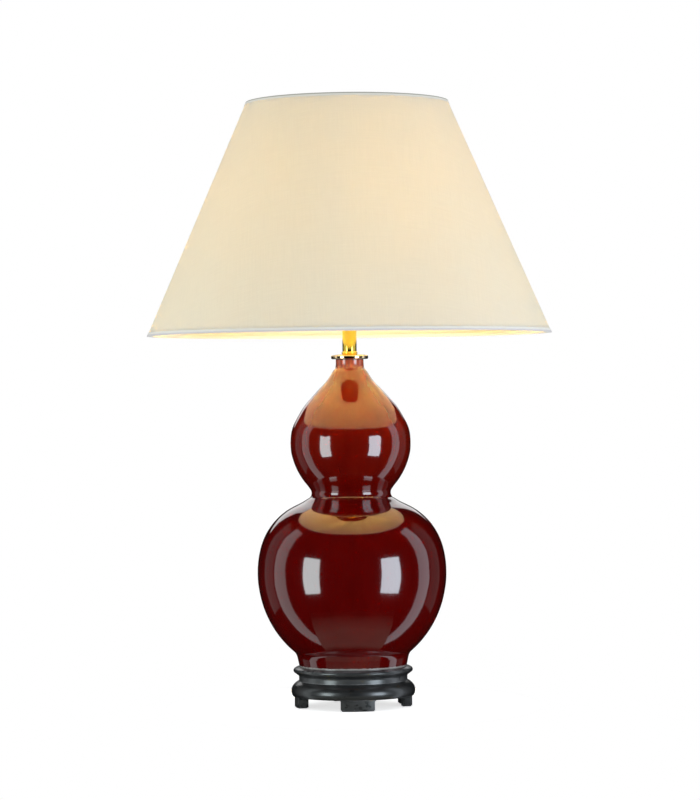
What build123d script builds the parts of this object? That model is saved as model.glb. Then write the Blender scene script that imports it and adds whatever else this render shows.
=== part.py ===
from build123d import *
import os
from math import acos, cos, sin

# A table lamp: a glazed double-gourd vase on a round wooden stand, clamped by a hollow rod that also carries
# a brass lampholder, its bulb and a wire carrier, on which a large cone shade rests.
# Millimetres. +Z is up, -Y is the front, and the origin lies on the table under the lamp's axis.

# ---- Clearances ----
fit_gap = 0.1  # around a shaft, tenon or screw in its hole
glue_gap = 0.05  # between layers that are bonded, welded or wrapped
rest_gap = 0.3  # under a piece that rests on a moving neighbour
play_gap = 0.5  # around a piece that drops into a recess

# ---- Stand ----
pad_thickness = 1.0
pad_inset = 1.0
foot_width = 37.5
foot_depth = 11.0
foot_radius = 66.4  # outer face of a foot
foot_cove = 3.0
apron_bottom = 12.5
apron_height = 16.9
apron_radius = 70.0
apron_bore = 50.0
apron_shoulder = 61.9  # top edge, just proud of the waist
apron_bulge = 5.5  # height of the widest line above the apron's underside
apron_crest = 67.4  # where the bulge turns in
apron_crest_height = 12.5
apron_edge = 1.7
apron_shoulder_slope = 0.6  # of the outline as it runs into the top edge
tenon_radius = 4.0
tenon_length = 8.0
stand_waist_radius = 61.2
stand_waist_height = 4.6
lip_cove = 1.2  # hollow corner where the waist turns out under the lip
lip_cove_height = 2.1
lip_corner = 66.8  # lower edge of the lip
lip_corner_height = 10.0  # above the apron, as the next two
lip_radius = 67.4
lip_height = 11.8
lip_crown = 66.3  # where the lip's edge turns into its sloping top
lip_crown_height = 14.0
top_thickness = 16.1
seat_depth = 3.0
seat_felt_thickness = 1.0
seat_felt_overhang = 2.0  # inside the vase's foot ring
screw_circle = 56.0
screw_radius = 1.9
screw_length = 20.0
screw_head_radius = 4.0
screw_head_height = 2.6
screw_recess = 3.0
screw_slot = 0.9
DIRECTIONS = {"front": -90, "right": 0, "back": 90, "left": 180}

# ---- Vase, as radii and heights above its foot ----
vase_wall = 5.0
vase_foot_radius = 60.1
foot_band_radius = 62.7
foot_band_height = 12.0
foot_blend_radius = 66.0  # where the lower bulb runs into the foot band
foot_recess = 6.0
foot_recess_radius = 50.0
floor_thickness = 7.0
lower_radius = 106.6
lower_height = 108.0
lower_drop = 114.0  # half height of the ellipse under the widest line
shoulder_radius = 46.8
shoulder_height = 192.2
waist_radius = 44.7
waist_height = 197.4
waist_top_radius = 46.6
waist_top_height = 202.4
upper_radius = 67.85
upper_height = 253.0
neck_radius = 15.7
neck_wall = 4.0
neck_start = 344.0
vase_height = 347.6
shoulder_slope = 0.5  # of the outline as the shoulder runs into the waist
waist_flare = 0.55  # outwards run of the outline for each unit up, above the waist
UNDERSIDE_STEPS = 6
# The outline between two of those rings, as shares of the way outwards or inwards and of the way up.
SHOULDER_SHAPE = (
    (0.022, 0.200), (0.099, 0.414), (0.264, 0.629), (0.441, 0.764), (0.662, 0.872), (0.888, 0.952))
UPPER_RISE_SHAPE = ((0.221, 0.123), (0.513, 0.302), (0.729, 0.480), (0.918, 0.713))
UPPER_FALL_SHAPE = (
    (0.052, 0.209), (0.148, 0.321), (0.308, 0.470), (0.475, 0.582), (0.656, 0.695), (0.832, 0.807),
    (0.960, 0.919))
# Where the inside follows each curve of the outside, as shares of the curve's length.
INNER_UNDERSIDE = (0.0, 0.25, 0.5, 0.75, 1.0)
INNER_CREST = (0.3, 0.6, 0.8, 1.0)
INNER_RISE = (0.35, 0.7)
INNER_FALL = (0.0, 0.3, 0.6, 0.85)

# ---- Rod and what it clamps ----
rod_radius = 5.0
rod_bore = 3.75
rod_tail = 12.6  # below the stand's top
thread_pitch = 1.0
thread_depth = 0.5
thread_turns = 9
hole_play = 0.5  # around the rod where it only passes through
washer_radius = 12.5
washer_thickness = 1.5
lock_washer_radius = 9.0
lock_washer_thickness = 1.6
lock_washer_split = 1.5
nut_flats = 14.0
nut_thickness = 3.0
bush_bore = 3.0
bush_flange_radius = 6.0
bush_flange = 1.5
bush_length = 10.0
gasket_flange = 0.8
gasket_length = 10.0
cap_radius = 20.9
cap_rim = 4.2
cap_rise = 1.2
cap_edge = 1.3
collar_radius = 8.9
collar_height = 3.2
tube_radius = 8.0
tube_wall = 1.2
tube_length = 27.0

# ---- Lampholder ----
boss_radius = 8.6
boss_height = 4.0
holder_radius = 17.5
holder_wall = 1.2
holder_cap_height = 13.0
holder_body_height = 17.0
dome_share = 0.7  # how far out the dome's middle point lies between the boss and the barrel
dome_rise = 3.2  # height of that point above the boss
grub_radius = 1.5
platform_radius = 12.8
platform_height = 3.0
insert_floor = 1.0  # the porcelain starts this far above the cap
wire_hole_radius = 4.0
wire_hole_depth = 4.5
terminal_offset = 9.5
terminal_radius = 3.2
terminal_height = 7.0
terminal_screw_radius = 1.8
terminal_screw_height = 1.4
terminal_slot = 0.45
contact_width = 5.0
contact_thickness = 0.6
contact_rise = 1.6
skirt_radius = 19.0
skirt_height = 34.5
skirt_thread_depth = 0.6
skirt_thread_pitch = 2.0
skirt_thread_turns = 14
skirt_plain = 4.0  # plain band under the thread
bulb_thread_pitch = 3.6
bulb_thread_depth = 0.8
shell_wall = 0.5
shell_turns = 7
shell_flange = 10.5
bar_radius = 2.6
bar_height = 9.0  # above the bottom of the holder's body
bar_reach = 28.0
bar_travel = 6.0
bar_hole_radius = 3.0
tip_radius = 3.6
tip_length = 6.0
tip_edge = 1.2

# ---- Shade rings and carrier ----
ring_seat = 9.5  # bottom of the lower ring above the bottom of the skirt
ring_collar_radius = 22.6
ring_collar_height = 4.0
ring_flange_radius = 26.0
ring_flange = 2.2
ring_notches = 16
ring_notch_radius = 1.4
carrier_ring_radius = 30.0
carrier_ring_thickness = 1.2
carrier_height = 173.2
carrier_knee_radius = 54.0
carrier_bow_radius = 60.0
carrier_bow_height = 56.0
carrier_arm_radius = 1.6
carrier_arms = 3
carrier_arm_azimuth = -101.5
carrier_start_bend = 16.0
carrier_long_bend = 60.0
carrier_straight = 36.0  # upright end of an arm under the gallery
gallery_bore = 40.4
gallery_radius = 48.5
gallery_lip = 1.6
gallery_thickness = 1.2
gallery_height = 4.0

# ---- Bulb ----
bulb_length = 105.0
bulb_radius = 30.0
bulb_glass_wall = 0.8
bulb_cap_radius = 13.1
bulb_cap_wall = 0.4
bulb_cap_turns = 5
bulb_cap_start = 3.6  # above the tip
bulb_cap_height = 23.0
bulb_neck_radius = 12.3
bulb_neck_height = 34.0
bulb_neck_sink = 3.0  # how far the neck reaches into the cap
bulb_flare = 0.2  # outwards run of the outline for each unit up, where the neck opens
insulator_radius = 11.0
insulator_start = 1.0
insulator_edge = 1.0
insulator_side = 3.0
insulator_height = 4.0
solder_radius = 3.0
stem_sink = 2.0  # below the cap's rim
stem_flare_radius = 11.0
stem_flare_edge = 1.5
stem_post_radius = 3.5
stem_height = 28.0
lead_radius = 0.5
lead_spread = 2.0
filament_spread = 9.0
filament_bow = 5.0
filament_radius = 0.4

# ---- Shade ----
shade_bottom_radius = 228.6
shade_top_radius = 114.4
shade_height = 262.9
trim_thickness = 0.45
trim_bottom_width = 4.0
trim_top_width = 3.4
fabric_thickness = 0.5
liner_thickness = 1.0
shade_wire_radius = 1.5
spider_drop = 32.4
spider_wire_radius = 2.0
strut_bend = 10.0
strut_count = 3
strut_azimuth = -41.5

# ---- Levels that follow from the sizes ----
stand_top_bottom = apron_bottom + apron_height
stand_top_level = stand_top_bottom + top_thickness
seat_level = stand_top_level - seat_depth
vase_level = seat_level + seat_felt_thickness
neck_level = vase_level + vase_height
cap_level = neck_level + gasket_flange
collar_level = cap_level + cap_rim + cap_rise
tube_level = collar_level + collar_height
holder_level = tube_level + tube_length
body_level = holder_level + holder_cap_height
skirt_level = body_level + holder_body_height
platform_level = skirt_level + platform_height
bulb_level = platform_level + contact_thickness + contact_rise + rest_gap
nut_level = stand_top_bottom - washer_thickness - lock_washer_thickness - nut_thickness
rod_bottom = stand_top_bottom - rod_tail
rod_top = body_level - insert_floor
bar_level = body_level + bar_height

# ---- Fits that follow from the sizes ----
shell_inner_radius = bulb_cap_radius + rest_gap
shell_outer_radius = shell_inner_radius + bulb_thread_depth + shell_wall
skirt_bore = shell_outer_radius + play_gap + fit_gap
skirt_thread_radius = skirt_radius + skirt_thread_depth
shade_ring_bore = skirt_thread_radius + fit_gap
spider_ring_radius = gallery_bore + gallery_lip + play_gap + spider_wire_radius

# ---- Levels of the rings, the carrier and the shade ----
lower_ring_level = skirt_level + ring_seat
carrier_level = lower_ring_level + ring_collar_height + ring_flange + fit_gap
upper_ring_level = carrier_level + carrier_ring_thickness + fit_gap
ledge_level = carrier_level + carrier_ring_thickness + carrier_height
spider_level = ledge_level + rest_gap + spider_wire_radius
shade_top = spider_level + spider_drop
shade_bottom = shade_top - shade_height
shade_slope = (shade_bottom_radius - shade_top_radius) / shade_height


# ---- Shaping helpers ----
def lathe(*outline):
    """The solid that a closed outline of radii and heights sweeps about the lamp's axis."""
    return revolve(Plane.XZ * make_face(outline), Axis.Z)


def turned(*corners, rounds=None):
    """A turned solid with straight sides. rounds maps a corner's place in the list to its radius."""
    if rounds:
        radii = [rounds.get(place, 0) for place in range(len(corners))]
        return lathe(FilletPolyline(*corners, radius=radii, close=True))
    return lathe(Polyline(*corners, close=True))


def hoop(inner, outer, low, high):
    """A plain ring between two radii and two heights."""
    return turned((inner, low), (outer, low), (outer, high), (inner, high))


def rod_between(radius, low, high, x=0.0, y=0.0):
    """An upright round bar."""
    return Pos(x, y, low) * Cylinder(radius, high - low, align=(Align.CENTER, Align.CENTER, Align.MIN))


def bar_along_x(radius, start, end, height):
    """A round bar along X."""
    bar = Cylinder(radius, end - start, align=(Align.CENTER, Align.CENTER, Align.MIN))
    return Pos(start, 0, height) * Rot(0, 90, 0) * bar


def wire(path, radius):
    """A round wire along a path of lines and arcs."""
    return sweep(Plane(path @ 0, z_dir=path % 0) * Circle(radius), path=path)


def wire_hoop(ring_radius, radius, height):
    """A closed ring of round wire about the lamp's axis."""
    return Pos(0, 0, height) * Torus(ring_radius, radius)


def around(solid, azimuth):
    """The solid turned about the lamp's axis."""
    return Rot(0, 0, azimuth) * solid


def shaped(start, end, shares):
    """Points on the way from one point to another, from their shares of the way across and up."""
    width, rise = end[0] - start[0], end[1] - start[1]
    return [(start[0] + across * width, start[1] + up * rise) for across, up in shares]


def inset(curve, depth, places):
    """Points of an outline that runs upwards, moved inwards by a wall's thickness."""
    points = []
    for place in places:
        point, along = curve @ place, curve % place
        points.append((point.X - depth * along.Y, point.Y + depth * along.X))
    return points


def teeth(root, tip, pitch, turns, low):
    """The corners of a thread's outline from low upwards, as rounds about the axis."""
    quarter = pitch / 4
    corners = []
    for turn in range(turns):
        start = low + turn * pitch
        corners += [(root, start), (tip, start + quarter)]
        corners += [(tip, start + 2 * quarter), (root, start + 3 * quarter)]
    return corners


# ---- Stand ----
def foot_tenon(gap=0.0):
    """The round tenon on a foot, or with a gap the mortise that takes it."""
    return rod_between(tenon_radius + gap, apron_bottom, apron_bottom + tenon_length + gap,
                       x=foot_radius - foot_depth / 2)


def screw_at(azimuth, solid):
    """A solid moved from the axis to one of the stand's screws."""
    return around(Pos(screw_circle, 0, 0) * solid, azimuth)


def screw_azimuths():
    """The screws sit halfway between the feet."""
    return [azimuth + 45 for azimuth in DIRECTIONS.values()]


def stand_apron():
    """The bulged ring that carries the feet."""
    top = apron_bottom + apron_height
    bulge = (apron_radius, apron_bottom + apron_bulge)
    crest = (apron_crest, apron_bottom + apron_crest_height)
    shoulder = (apron_shoulder, top)
    edge = (apron_radius - apron_edge, apron_bottom)
    body = lathe(
        Line((apron_bore, apron_bottom), edge),
        TangentArc(bulge, edge, tangent=(0, -1)),
        Spline(bulge, crest, shoulder, tangents=[(0, 1), (-1, apron_shoulder_slope)]),
        Line(shoulder, (apron_bore, top)),
        Line((apron_bore, top), (apron_bore, apron_bottom)),
    )
    for azimuth in DIRECTIONS.values():
        body -= around(foot_tenon(fit_gap), azimuth)
    recess = rod_between(screw_head_radius + play_gap, apron_bottom, apron_bottom + screw_recess)
    shank = rod_between(screw_radius + fit_gap, apron_bottom, top)
    for azimuth in screw_azimuths():
        body -= screw_at(azimuth, recess + shank)
    return body


def stand_top():
    """The turned top: a waist, a rolled lip and a shallow seat for the vase."""
    low = stand_top_bottom
    waist_end = (stand_waist_radius, low + stand_waist_height)
    cove_end = (stand_waist_radius + lip_cove, low + stand_waist_height + lip_cove_height)
    corner = (lip_corner, low + lip_corner_height)
    edge = (lip_radius, low + lip_height)
    crown = (lip_crown, low + lip_crown_height)
    seat_radius = vase_foot_radius + play_gap + fit_gap
    rim = (seat_radius + play_gap, stand_top_level)
    lip_edge = TangentArc(edge, crown, tangent=(0, 1))
    hole = rod_radius + hole_play
    body = lathe(
        Line((hole, low), (stand_waist_radius, low)),
        Line((stand_waist_radius, low), waist_end),
        TangentArc(waist_end, cove_end, tangent=(0, 1)),
        Line(cove_end, corner),
        TangentArc(edge, corner, tangent=(0, -1)),
        lip_edge,
        TangentArc(crown, rim, tangent=lip_edge % 1),
        Line(rim, (seat_radius, stand_top_level)),
        Line((seat_radius, stand_top_level), (seat_radius, seat_level)),
        Line((seat_radius, seat_level), (hole, seat_level)),
        Line((hole, seat_level), (hole, low)),
    )
    pilot = rod_between(screw_radius + fit_gap, low, apron_bottom + screw_recess + screw_length + fit_gap)
    for azimuth in screw_azimuths():
        body -= screw_at(azimuth, pilot)
    return body


def foot_block(bottom, height, width, inner, outer):
    """A block of the ring between two radii, centred on +X."""
    block = Pos((inner + outer) / 2, 0, bottom) * Box(
        outer - inner + foot_depth, width, height, align=(Align.CENTER, Align.CENTER, Align.MIN))
    return block & hoop(inner, outer, bottom, bottom + height)


def foot():
    """The foot on +X: a curved block with a small cove under the apron on each side, and its tenon."""
    side, top = foot_width / 2, apron_bottom
    coved = Curve() + [
        Line((-side, pad_thickness), (side, pad_thickness)),
        Line((side, pad_thickness), (side, top - foot_cove)),
        RadiusArc((side, top - foot_cove), (side + foot_cove, top), foot_cove),
        Line((side + foot_cove, top), (-side - foot_cove, top)),
        RadiusArc((-side - foot_cove, top), (-side, top - foot_cove), foot_cove),
        Line((-side, top - foot_cove), (-side, pad_thickness)),
    ]
    inner = foot_radius - foot_depth
    block = Pos(inner - foot_depth, 0, 0) * extrude(Plane.YZ * make_face(coved), foot_depth * 3)
    return (block & hoop(inner, foot_radius, pad_thickness, top)) + foot_tenon()


def foot_pad():
    """The felt pad under the foot on +X."""
    inner = foot_radius - foot_depth + pad_inset
    return foot_block(0, pad_thickness, foot_width - 2 * pad_inset, inner, foot_radius - pad_inset)


def stand_screws():
    """The countersunk wood screws that hold the top to the apron, up through the apron."""
    seat = apron_bottom + screw_recess
    shank = rod_between(screw_radius, seat, seat + screw_length)
    head = rod_between(screw_head_radius, seat - screw_head_height, seat)
    slot = Pos(0, 0, seat - screw_head_height) * Box(2 * screw_head_radius, screw_slot, 2 * screw_slot)
    screw = shank + head - slot
    return [screw_at(azimuth, screw) for azimuth in screw_azimuths()]


# ---- Vase ----
def underside_point(angle):
    """A point of the ellipse under the lower bulb's widest line, at an angle in radians below that line."""
    return (lower_radius * cos(angle), lower_height - lower_drop * sin(angle))


def vase_outline():
    """The outside of the vase from the foot upwards, with its foot at height 0."""
    blend_angle = acos(foot_blend_radius / lower_radius)
    blend = underside_point(blend_angle)
    blend_slope = (lower_radius * sin(blend_angle), lower_drop * cos(blend_angle))
    band_top = (foot_band_radius, foot_band_height)
    widest, shoulder = (lower_radius, lower_height), (shoulder_radius, shoulder_height)
    waist_top, middle = (waist_top_radius, waist_top_height), (upper_radius, upper_height)
    neck = (neck_radius, neck_start)
    band = Line((vase_foot_radius, 0), band_top)
    band_blend = Spline(band_top, blend, tangents=[band % 1, blend_slope])
    angles = [blend_angle * (1 - step / UNDERSIDE_STEPS) for step in range(UNDERSIDE_STEPS + 1)]
    underside = Spline(*[underside_point(angle) for angle in angles], tangents=[blend_slope, (0, 1)])
    crest = Spline(
        widest, *shaped(widest, shoulder, SHOULDER_SHAPE), shoulder, tangents=[(0, 1), (-1, shoulder_slope)])
    waist = ThreePointArc(shoulder, (waist_radius, waist_height), waist_top)
    rise = Spline(
        waist_top, *shaped(waist_top, middle, UPPER_RISE_SHAPE), middle, tangents=[(waist_flare, 1), (0, 1)])
    fall = Spline(middle, *shaped(middle, neck, UPPER_FALL_SHAPE), neck, tangents=[(0, 1), (0, 1)])
    return band, band_blend, underside, crest, waist, rise, fall


def vase():
    """The slip-cast shell: a recessed foot with a hole for the rod, two bulbs and an open neck."""
    band, band_blend, underside, crest, waist, rise, fall = vase_outline()
    floor_level = foot_recess + floor_thickness
    hole = rod_radius + 2 * hole_play
    neck_bore = neck_radius - neck_wall
    waist_bore = waist_radius - vase_wall
    waist_end = (waist_bore, shoulder_height - vase_wall / 2)
    waist_start = (waist_bore, waist_top_height)
    inner_neck = (neck_bore, neck_start)
    inner_lower = inset(underside, vase_wall, INNER_UNDERSIDE) + inset(crest, vase_wall, INNER_CREST)
    inner_upper = inset(rise, vase_wall, INNER_RISE) + inset(fall, vase_wall, INNER_FALL)
    corner = (inner_lower[0][0] - vase_wall, floor_level)
    wall = lathe(
        band, band_blend, underside, crest, waist, rise, fall,
        Line((neck_radius, neck_start), (neck_radius, vase_height)),
        Line((neck_radius, vase_height), (neck_bore, vase_height)),
        Line((neck_bore, vase_height), inner_neck),
        Spline(inner_neck, *reversed(inner_upper), waist_start),
        Line(waist_start, waist_end),
        Line(waist_end, inner_lower[-1]),
        Spline(*reversed(inner_lower)),
        Line(inner_lower[0], corner),
        Line(corner, (hole, floor_level)),
        Line((hole, floor_level), (hole, foot_recess)),
        Line((hole, foot_recess), (foot_recess_radius, foot_recess)),
        Line((foot_recess_radius, foot_recess), (foot_recess_radius, 0)),
        Line((foot_recess_radius, 0), (vase_foot_radius, 0)),
    )
    return Pos(0, 0, vase_level) * wall


def vase_seat_felt():
    """The felt ring between the stand's seat and the vase's foot ring."""
    return hoop(foot_recess_radius - seat_felt_overhang, vase_foot_radius - play_gap, seat_level, vase_level)


# ---- Rod and what it clamps ----
def threaded_rod():
    """The hollow rod, with the end of its thread where it shows under the stand."""
    threaded = teeth(rod_radius - thread_depth, rod_radius, thread_pitch, thread_turns, rod_bottom)
    last = threaded[-1][1]
    return turned(
        (rod_bore, rod_bottom), *threaded, (rod_radius, last), (rod_radius, rod_top), (rod_bore, rod_top))


def rod_washer():
    level = stand_top_bottom - washer_thickness
    return hoop(rod_radius + fit_gap, washer_radius, level, level + washer_thickness)


def rod_lock_washer():
    """A split ring under the washer."""
    level = nut_level + nut_thickness
    ring = hoop(rod_radius + fit_gap, lock_washer_radius, level, level + lock_washer_thickness)
    return ring - Pos(lock_washer_radius, 0, level) * Box(
        2 * lock_washer_radius, lock_washer_split, 4 * lock_washer_thickness)


def rod_nut():
    hexagon = RegularPolygon(nut_flats / 2, 6, major_radius=False) - Circle(rod_radius + fit_gap)
    return Pos(0, 0, nut_level) * extrude(hexagon, nut_thickness)


def rod_bush():
    """The plastic bush in the rod's lower end, through which the mains lead would come in."""
    low = rod_bottom - bush_flange
    high = low + bush_length
    plug = rod_bore - fit_gap
    return turned(
        (bush_bore, low), (bush_flange_radius, low), (bush_flange_radius, rod_bottom), (plug, rod_bottom),
        (plug, high), (bush_bore, high), rounds={1: bush_flange / 2})


def neck_gasket():
    """A flanged rubber bush that centres the rod in the neck and seals the cap."""
    body = neck_radius - neck_wall - fit_gap
    flange = neck_radius - fit_gap
    hole = rod_radius + fit_gap
    return turned(
        (hole, neck_level - gasket_length), (body, neck_level - gasket_length), (body, neck_level),
        (flange, neck_level), (flange, cap_level), (hole, cap_level))


def vase_cap():
    """The brass cap on the neck, with a rounded rim and a slight dome."""
    rim, top = cap_level + cap_rim, collar_level
    hole = rod_radius + fit_gap
    return turned(
        (hole, cap_level), (cap_radius, cap_level), (cap_radius, rim), (collar_radius, top), (hole, top),
        rounds={1: cap_edge, 2: cap_edge})


def stem_collar():
    """The bead between the cap and the tube."""
    hole, shoulder = rod_radius + fit_gap, tube_radius
    low, high = collar_level, tube_level
    return lathe(
        Line((hole, low), (shoulder, low)),
        ThreePointArc((shoulder, low), (collar_radius, (low + high) / 2), (shoulder, high)),
        Line((shoulder, high), (hole, high)),
        Line((hole, high), (hole, low)),
    )


def stem_tube():
    return hoop(tube_radius - tube_wall, tube_radius, tube_level, holder_level)


# ---- Lampholder ----
def grub_hole(radius, end):
    """A radial hole or screw on the back of the holder's boss."""
    start = rod_radius + fit_gap
    return Pos(0, start, holder_level + boss_height / 2) * Rot(-90, 0, 0) * Cylinder(
        radius, end - start, align=(Align.CENTER, Align.CENTER, Align.MIN))


def holder_cap():
    """The domed cap that screws onto the rod."""
    top = body_level
    hole = rod_radius + fit_gap
    inner = holder_radius - holder_wall
    boss = (boss_radius, holder_level + boss_height)
    dome = (boss_radius + dome_share * (holder_radius - boss_radius), boss[1] + dome_rise)
    hollow_bottom = boss[1] + holder_wall
    hollow = (boss_radius + dome_share * (inner - boss_radius), hollow_bottom + dome_rise - holder_wall)
    cap = lathe(
        Line((hole, holder_level), (boss_radius, holder_level)),
        Line((boss_radius, holder_level), boss),
        ThreePointArc(boss, dome, (holder_radius, top)),
        Line((holder_radius, top), (inner, top)),
        ThreePointArc((inner, top), hollow, (boss_radius, hollow_bottom)),
        Line((boss_radius, hollow_bottom), (hole, hollow_bottom)),
        Line((hole, hollow_bottom), (hole, holder_level)),
    )
    return cap - grub_hole(grub_radius + fit_gap, boss_radius * 2)


def holder_grub_screw():
    return grub_hole(grub_radius, boss_radius - fit_gap)


def holder_body():
    """The short barrel between the cap and the skirt, pierced for the switch bar."""
    barrel = hoop(holder_radius - holder_wall, holder_radius, body_level, skirt_level)
    return barrel - bar_along_x(bar_hole_radius, -2 * holder_radius, 2 * holder_radius, bar_level)


def terminal_places():
    return [(0, -terminal_offset), (0, terminal_offset)]


def holder_insert():
    """The porcelain core: a tunnel for the bar, a hole for the wires, two terminal pockets and a platform."""
    outer = holder_radius - holder_wall - fit_gap
    low = body_level + insert_floor
    core = rod_between(outer, low, skirt_level) + rod_between(platform_radius, skirt_level, platform_level)
    core -= bar_along_x(bar_radius + fit_gap, -2 * outer, 2 * outer, bar_level)
    core -= rod_between(wire_hole_radius, low, low + wire_hole_depth)
    pocket_top = low + terminal_screw_height + terminal_height + fit_gap
    for x, y in terminal_places():
        core -= rod_between(terminal_radius + fit_gap, low, pocket_top, x, y)
    return core


def terminal_blocks():
    low = body_level + insert_floor + terminal_screw_height
    return [rod_between(terminal_radius, low, low + terminal_height, x, y) for x, y in terminal_places()]


def terminal_screws():
    """The heads of the terminal screws, slotted for a driver."""
    low = body_level + insert_floor
    slot = Box(2 * terminal_screw_radius, terminal_slot, 2 * terminal_slot)
    return [
        rod_between(terminal_screw_radius, low, low + terminal_screw_height, x, y) - Pos(x, y, low) * slot
        for x, y in terminal_places()
    ]


def centre_contact():
    """The bent brass tongue that presses on the bulb's tip."""
    low, half = platform_level, contact_width / 2
    rise = low + contact_rise
    strip = Polyline(
        (-platform_radius / 2, low), (-half, low), (half, rise), (half, rise + contact_thickness),
        (-half, low + contact_thickness), (-platform_radius / 2, low + contact_thickness), close=True)
    return extrude(Plane.YZ * make_face(strip), contact_width / 2, both=True)


def screw_shell():
    """The corrugated brass shell that takes the bulb's thread, on a flange round the contact."""
    crest, root = shell_inner_radius, shell_inner_radius + bulb_thread_depth
    low = platform_level + shell_wall
    inner = teeth(root, crest, bulb_thread_pitch, shell_turns, low)
    outer = [(radius + shell_wall, height) for radius, height in reversed(inner)]
    top = inner[-1][1]
    return turned(
        (shell_flange, platform_level), (shell_outer_radius, platform_level), *reversed(outer),
        (shell_outer_radius, top + shell_wall), (root, top + shell_wall), *reversed(inner),
        (shell_flange, low))


def holder_skirt():
    """The skirt, threaded outside for the shade rings."""
    start = skirt_level + skirt_plain
    threaded = teeth(skirt_radius, skirt_thread_radius, skirt_thread_pitch, skirt_thread_turns, start)
    top = skirt_level + skirt_height
    return turned(
        (skirt_bore, skirt_level), (skirt_radius, skirt_level), *threaded,
        (skirt_radius, top), (skirt_bore, top))


def switch_bar():
    """The push bar through the holder, at rest pushed towards +X."""
    middle = bar_travel / 2
    end = bar_reach - tip_length
    return bar_along_x(bar_radius, middle - end, middle + end, bar_level)


def switch_tips():
    """The turned tips on both ends of the bar."""
    middle = bar_travel / 2
    tips = []
    for side in (-1, 1):
        inner, outer = sorted((middle + side * (bar_reach - tip_length), middle + side * bar_reach))
        tip = bar_along_x(tip_radius, inner, outer, bar_level)
        end_edge = tip.edges().sort_by(Axis.X)[0 if side < 0 else -1]
        tips.append(fillet(end_edge, tip_edge))
    return tips


# ---- Shade rings and carrier ----
def shade_ring(flange_up, level):
    """A threaded ring with a notched flange, flange uppermost or lowest."""
    flange_level = level + ring_collar_height if flange_up else level
    collar_level = level if flange_up else level + ring_flange
    ring = hoop(shade_ring_bore, ring_flange_radius, flange_level, flange_level + ring_flange)
    ring += hoop(shade_ring_bore, ring_collar_radius, collar_level, collar_level + ring_collar_height)
    for notch in range(ring_notches):
        cut = rod_between(ring_notch_radius, flange_level, flange_level + ring_flange, x=ring_flange_radius)
        ring -= around(cut, notch * 360 / ring_notches)
    return ring


def carrier_base_ring():
    return hoop(shade_ring_bore, carrier_ring_radius, carrier_level, carrier_level + carrier_ring_thickness)


def carrier_arm(azimuth):
    """One wire arm, from the base ring out round the bulb and up to the gallery."""
    level = carrier_level + carrier_ring_thickness / 2
    top = ledge_level - gallery_thickness - glue_gap
    upright = (gallery_bore + gallery_radius) / 2
    path = FilletPolyline(
        (carrier_ring_radius + glue_gap, 0, level),
        (carrier_knee_radius, 0, level),
        (carrier_bow_radius, 0, level + carrier_bow_height),
        (upright, 0, top - carrier_straight),
        (upright, 0, top),
        radius=[carrier_start_bend, carrier_long_bend, carrier_long_bend])
    return around(wire(path, carrier_arm_radius), azimuth)


def carrier_top_ring():
    """The gallery: a flat ledge, with a lip on its inner edge that centres the shade's ring."""
    low, top = ledge_level - gallery_thickness, ledge_level + gallery_height
    lip = gallery_bore + gallery_lip
    return turned(
        (gallery_bore, low), (gallery_radius, low), (gallery_radius, ledge_level), (lip, ledge_level),
        (lip, top), (gallery_bore, top))


# ---- Bulb ----
def bulb_glass():
    """The hollow glass: a neck that flares into a ball."""
    middle = bulb_level + bulb_length - bulb_radius
    top = bulb_level + bulb_length
    neck = bulb_level + bulb_cap_start + bulb_cap_height - bulb_neck_sink
    flare = bulb_level + bulb_neck_height
    wall = bulb_glass_wall
    neck_inner, inner = bulb_neck_radius - wall, bulb_radius - wall
    half_radius, half_height = (bulb_neck_radius + bulb_radius) / 2, (flare + middle) / 2
    side = Spline(
        (bulb_neck_radius, flare), (half_radius, half_height - wall), (bulb_radius, middle),
        tangents=[(bulb_flare, 1), (0, 1)])
    inner_side = Spline(
        (neck_inner, flare), (half_radius - wall, half_height), (inner, middle),
        tangents=[(bulb_flare, 1), (0, 1)])
    crown = CenterArc((0, middle), bulb_radius, 0, 90)
    inner_crown = CenterArc((0, middle), inner, 0, 90)
    return lathe(
        Line((bulb_neck_radius, neck), (bulb_neck_radius, flare)), side, crown,
        Line((0, top), (0, top - wall)), inner_crown, inner_side,
        Line((neck_inner, flare), (neck_inner, neck)), Line((neck_inner, neck), (bulb_neck_radius, neck)),
    )


def bulb_cap():
    """The threaded metal cap."""
    root = bulb_cap_radius - bulb_thread_depth - bulb_cap_wall
    low = bulb_level + bulb_cap_start
    outer = teeth(bulb_cap_radius - bulb_thread_depth, bulb_cap_radius, bulb_thread_pitch, bulb_cap_turns,
                  low + bulb_cap_wall)
    top = low + bulb_cap_height
    collar = outer[-1][1]
    bore = bulb_neck_radius + fit_gap
    return turned(
        (insulator_radius + fit_gap, low), (bulb_cap_radius - bulb_thread_depth, low), *outer,
        (bulb_cap_radius, collar + bulb_thread_depth), (bulb_cap_radius, top), (bore, top),
        (bore, collar + bulb_thread_depth), (root, collar), (root, low + bulb_cap_wall),
        (insulator_radius + fit_gap, low + bulb_cap_wall))


def bulb_insulator():
    """The black glass in the end of the cap."""
    low = bulb_level + insulator_start
    side, high = low + insulator_side, low + insulator_height
    return turned(
        (0, low), (solder_radius, low), (insulator_radius - insulator_edge, side - insulator_edge),
        (insulator_radius, side), (insulator_radius, high), (0, high))


def bulb_contact():
    """The solder tip."""
    top = bulb_level + insulator_start
    return turned(
        (0, bulb_level), (solder_radius, bulb_level), (solder_radius, top), (0, top),
        rounds={1: insulator_start / 2})


def stem_foot_level():
    """Where the glass mount meets the bulb's neck."""
    return bulb_level + bulb_cap_start + bulb_cap_height - stem_sink


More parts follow.
